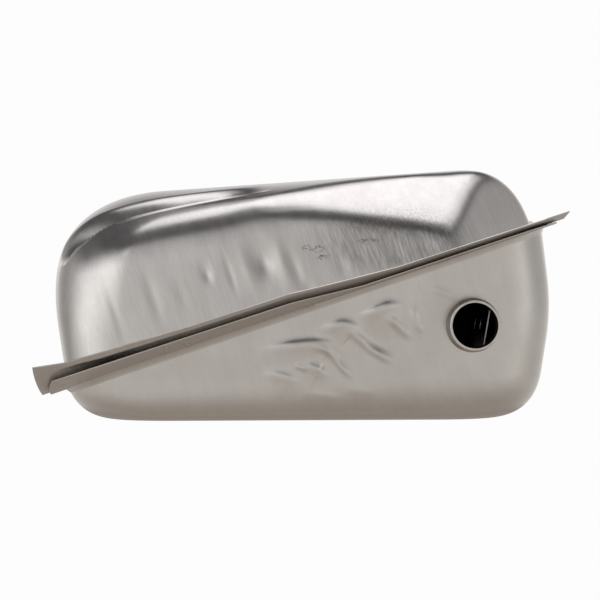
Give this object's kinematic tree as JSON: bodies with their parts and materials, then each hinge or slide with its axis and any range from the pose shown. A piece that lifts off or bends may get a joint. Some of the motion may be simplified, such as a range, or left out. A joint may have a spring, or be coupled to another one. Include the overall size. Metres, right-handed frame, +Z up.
{
  "type": "fuel tank",
  "caption": "Bare pressed-steel fuel tank of two flanged shells seam welded along a sloping joint, with a side filler neck, inner baffles and a fuel tap boss.",
  "frame": {"origin": "on the flat floor of the lower pressing, at the middle of the tank's depth, near mid-length", "axes": "+Z up from the floor the tank rests on, +X along the tank towards its filler end, -Y out through the filler neck; fitted in a vehicle the filler side is probably turned up"},
  "size_m": [0.4672, 0.24, 0.2313],
  "materials": {
    "upper_steel": "bare deep-drawn steel with draw marks and small dents",
    "lower_steel": "bare deep-drawn steel with draw marks and shallow wrinkles",
    "neck_steel": "bare turned steel",
    "boss_steel": "bare machined steel",
    "baffle_steel": "bare sheet steel with sheared edges",
    "weld_metal": "bare weld metal with a heat tint"
  },
  "bodies": {
    "root": {"upper_shell": "upper_steel", "lower_shell": "lower_steel", "seam_weld": "weld_metal", "filler_neck": "neck_steel", "filler_neck_weld": "weld_metal", "outlet_boss": "boss_steel", "outlet_boss_weld": "weld_metal", "main_baffle": "baffle_steel", "end_baffle": "baffle_steel", "baffle_spot_welds": "weld_metal"}
  },
  "joints": []
}
